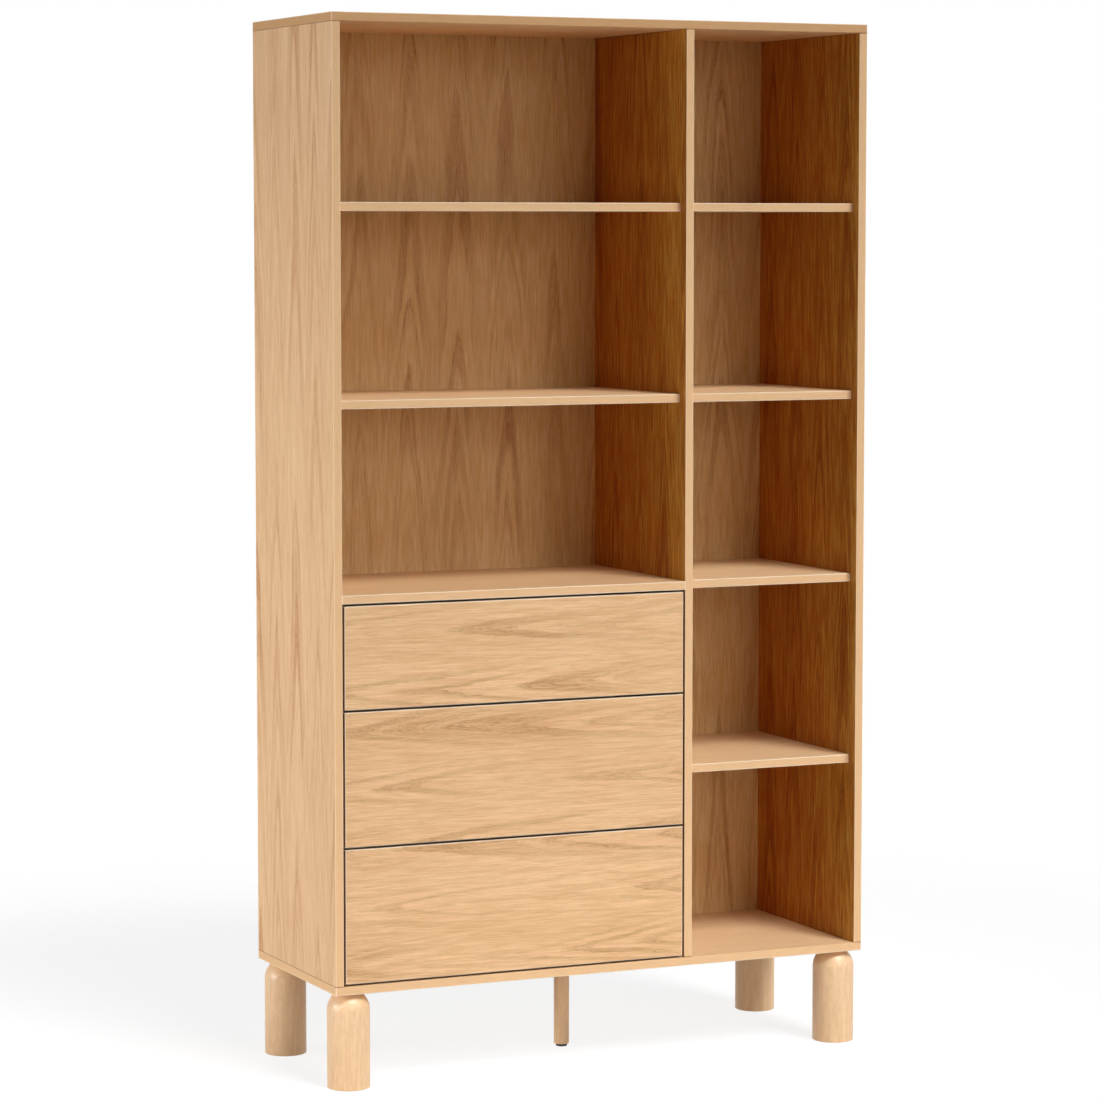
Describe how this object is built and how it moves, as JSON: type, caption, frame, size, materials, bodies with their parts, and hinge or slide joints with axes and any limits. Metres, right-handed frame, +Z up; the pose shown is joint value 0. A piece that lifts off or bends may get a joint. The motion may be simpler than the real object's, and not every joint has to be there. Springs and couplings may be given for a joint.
{
  "type": "shelving unit",
  "caption": "Tall oak shelving unit with a wide and a narrow bay of open shelves, push-open drawers at the lower left, stout round legs and a slim centre leg.",
  "frame": {"origin": "on the floor, under the middle of the unit's outline", "axes": "+Z up, +Y from the open front to the back, +X to the right as seen from the front"},
  "size_m": [1.1, 0.41, 1.974],
  "materials": {
    "oak": "oak veneer, matt lacquer",
    "back_oak": "thin oak-veneered back panel, matt lacquer",
    "leg_oak": "turned solid oak, matt lacquer",
    "drawer_board": "drawer box board, clear lacquer",
    "beech": "plain beech dowel",
    "zinc_steel": "zinc-plated steel",
    "screw_steel": "zinc-plated screws, bolts and inserts",
    "cage_plastic": "ball cage strips with their balls",
    "grey_plastic": "closed plastic housing",
    "dark_plastic": "dark plastic glide"
  },
  "bodies": {
    "carcass": {"top_panel": "oak", "bottom_panel": "oak", "left_side": "oak", "right_side": "oak", "divider": "oak", "drawer_deck": "oak", "left_middle_shelf": "oak", "left_high_shelf": "oak", "right_shelf_1": "oak", "right_shelf_2": "oak", "right_shelf_3": "oak", "right_shelf_4": "oak", "left_back": "back_oak", "right_back": "back_oak", "front_legs": "leg_oak", "back_legs": "leg_oak", "centre_leg": "leg_oak", "centre_leg_glide": "dark_plastic", "carcass_dowels": "beech", "shelf_pins": "screw_steel", "back_screws": "screw_steel", "leg_inserts": "screw_steel", "leg_bolts": "screw_steel", "cabinet_rail_screws": "screw_steel", "push_open_units": "grey_plastic", "lower_cabinet_rails": "zinc_steel", "middle_cabinet_rails": "zinc_steel", "upper_cabinet_rails": "zinc_steel"},
    "lower_drawer": {"lower_drawer_face": "oak", "lower_drawer_left": "drawer_board", "lower_drawer_right": "drawer_board", "lower_drawer_back": "drawer_board", "lower_drawer_bottom": "drawer_board", "lower_drawer_screws": "screw_steel", "lower_drawer_rails": "zinc_steel"},
    "lower_middle_rails": {"lower_middle_rails": "zinc_steel"},
    "lower_outer_cages": {"lower_outer_ball_cages": "cage_plastic"},
    "lower_inner_cages": {"lower_inner_ball_cages": "cage_plastic"},
    "middle_drawer": {"middle_drawer_face": "oak", "middle_drawer_left": "drawer_board", "middle_drawer_right": "drawer_board", "middle_drawer_back": "drawer_board", "middle_drawer_bottom": "drawer_board", "middle_drawer_screws": "screw_steel", "middle_drawer_rails": "zinc_steel"},
    "middle_middle_rails": {"middle_middle_rails": "zinc_steel"},
    "middle_outer_cages": {"middle_outer_ball_cages": "cage_plastic"},
    "middle_inner_cages": {"middle_inner_ball_cages": "cage_plastic"},
    "upper_drawer": {"upper_drawer_face": "oak", "upper_drawer_left": "drawer_board", "upper_drawer_right": "drawer_board", "upper_drawer_back": "drawer_board", "upper_drawer_bottom": "drawer_board", "upper_drawer_screws": "screw_steel", "upper_drawer_rails": "zinc_steel"},
    "upper_middle_rails": {"upper_middle_rails": "zinc_steel"},
    "upper_outer_cages": {"upper_outer_ball_cages": "cage_plastic"},
    "upper_inner_cages": {"upper_inner_ball_cages": "cage_plastic"}
  },
  "joints": [
    {"name": "lower_drawer_slide", "type": "slide", "parent": "carcass", "child": "lower_drawer", "axis": [0, -1, 0], "range_m": [-0.003, 0.35]},
    {"name": "lower_middle_rail_slide", "type": "slide", "parent": "carcass", "child": "lower_middle_rails", "axis": [0, -1, 0], "range_m": [-0.0015, 0.175]},
    {"name": "lower_outer_cage_slide", "type": "slide", "parent": "carcass", "child": "lower_outer_cages", "axis": [0, -1, 0], "range_m": [-0.00075, 0.0875]},
    {"name": "lower_inner_cage_slide", "type": "slide", "parent": "carcass", "child": "lower_inner_cages", "axis": [0, -1, 0], "range_m": [-0.00225, 0.2625]},
    {"name": "middle_drawer_slide", "type": "slide", "parent": "carcass", "child": "middle_drawer", "axis": [0, -1, 0], "range_m": [-0.003, 0.35]},
    {"name": "middle_middle_rail_slide", "type": "slide", "parent": "carcass", "child": "middle_middle_rails", "axis": [0, -1, 0], "range_m": [-0.0015, 0.175]},
    {"name": "middle_outer_cage_slide", "type": "slide", "parent": "carcass", "child": "middle_outer_cages", "axis": [0, -1, 0], "range_m": [-0.00075, 0.0875]},
    {"name": "middle_inner_cage_slide", "type": "slide", "parent": "carcass", "child": "middle_inner_cages", "axis": [0, -1, 0], "range_m": [-0.00225, 0.2625]},
    {"name": "upper_drawer_slide", "type": "slide", "parent": "carcass", "child": "upper_drawer", "axis": [0, -1, 0], "range_m": [-0.003, 0.35]},
    {"name": "upper_middle_rail_slide", "type": "slide", "parent": "carcass", "child": "upper_middle_rails", "axis": [0, -1, 0], "range_m": [-0.0015, 0.175]},
    {"name": "upper_outer_cage_slide", "type": "slide", "parent": "carcass", "child": "upper_outer_cages", "axis": [0, -1, 0], "range_m": [-0.00075, 0.0875]},
    {"name": "upper_inner_cage_slide", "type": "slide", "parent": "carcass", "child": "upper_inner_cages", "axis": [0, -1, 0], "range_m": [-0.00225, 0.2625]}
  ],
  "couplings": [
    {"joint": "lower_middle_rail_slide", "follows": "lower_drawer_slide", "ratio": 0.5},
    {"joint": "lower_outer_cage_slide", "follows": "lower_drawer_slide", "ratio": 0.25},
    {"joint": "lower_inner_cage_slide", "follows": "lower_drawer_slide", "ratio": 0.75},
    {"joint": "middle_middle_rail_slide", "follows": "middle_drawer_slide", "ratio": 0.5},
    {"joint": "middle_outer_cage_slide", "follows": "middle_drawer_slide", "ratio": 0.25},
    {"joint": "middle_inner_cage_slide", "follows": "middle_drawer_slide", "ratio": 0.75},
    {"joint": "upper_middle_rail_slide", "follows": "upper_drawer_slide", "ratio": 0.5},
    {"joint": "upper_outer_cage_slide", "follows": "upper_drawer_slide", "ratio": 0.25},
    {"joint": "upper_inner_cage_slide", "follows": "upper_drawer_slide", "ratio": 0.75}
  ]
}
